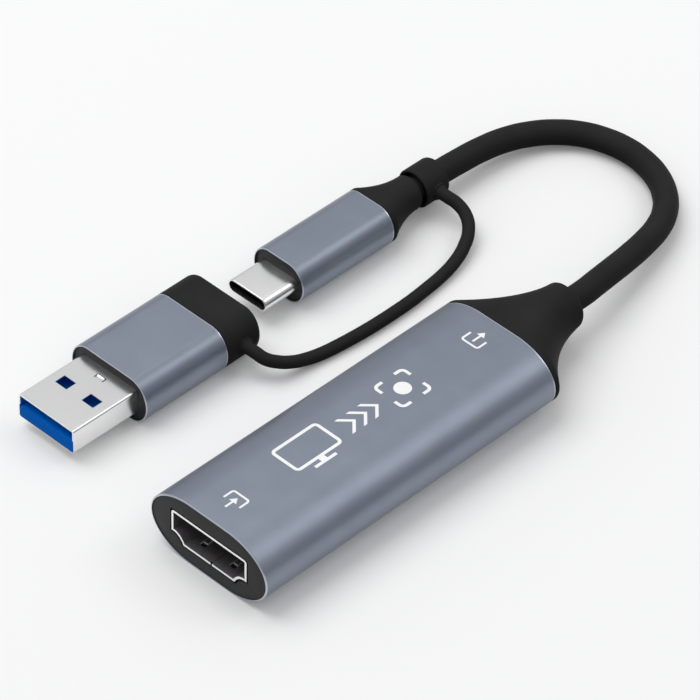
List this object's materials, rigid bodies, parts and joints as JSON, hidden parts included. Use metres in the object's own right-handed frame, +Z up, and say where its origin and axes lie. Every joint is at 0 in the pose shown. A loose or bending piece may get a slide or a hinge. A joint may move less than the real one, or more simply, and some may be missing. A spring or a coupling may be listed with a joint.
{
  "type": "video capture box",
  "caption": "Slim oval metal video capture box with a video socket, a short captive lead to a type C plug, and a type A adapter tethered to a collar on the lead.",
  "frame": {"origin": "under the middle of the box and its strain relief, on the surface that it lies on", "axes": "+X to the right, +Y along the box from the video socket to the lead, +Z up"},
  "size_m": [0.0578, 0.1172, 0.0119],
  "materials": {
    "anodised_metal": "satin anodised, fine grain, bright cut front rim",
    "black_plastic": "fine moulded",
    "black_rubber": "satin moulded",
    "steel_shell": "nickel plated, stamped",
    "gold_contact": "gold plated",
    "blue_plastic": "semi gloss moulded",
    "green_board": "solder mask",
    "chip_black": "moulded epoxy",
    "ferrite": "pressed powder",
    "ceramic": "fired",
    "wire_jacket": "extruded"
  },
  "bodies": {
    "capture_box": {"housing_sleeve": "anodised_metal", "front_bezel": "black_plastic", "video_socket_shell": "steel_shell", "video_socket_tongue": "black_plastic", "video_socket_contacts": "gold_contact", "main_board": "green_board", "board_carrier": "black_plastic", "capture_chip": "chip_black", "receiver_chip": "chip_black", "memory_chip": "chip_black", "crystal": "steel_shell", "power_inductor": "ferrite", "capacitors": "ceramic", "lead_wires": "wire_jacket", "strain_relief": "black_rubber", "cable": "black_rubber", "plug_sleeve": "anodised_metal", "plug_nose": "black_plastic", "plug_shell": "steel_shell", "plug_insulator": "black_plastic", "plug_contacts": "gold_contact", "plug_board": "green_board", "plug_wires": "wire_jacket", "plug_strain_relief": "black_rubber"},
    "tether_link": {"tether_collar": "black_rubber", "tether": "black_rubber"},
    "adapter": {"adapter_sleeve": "anodised_metal", "adapter_nose": "black_plastic", "type_a_shell": "steel_shell", "type_a_tongue": "blue_plastic", "type_a_contacts": "gold_contact", "adapter_board": "green_board", "socket_block": "black_plastic", "type_c_socket_shell": "steel_shell", "type_c_socket_tongue": "black_plastic", "type_c_socket_contacts": "gold_contact"}
  },
  "joints": [
    {"name": "collar_turn", "type": "hinge", "parent": "capture_box", "child": "tether_link", "pos_m": [-0.0375, 0.04585, 0.00415], "axis": [0, -1, 0], "range_deg": [0, 180]},
    {"name": "adapter_slide", "type": "slide", "parent": "tether_link", "child": "adapter", "axis": [0, 1, 0], "range_m": [0, 0.01125], "deforming": ["tether"]}
  ]
}
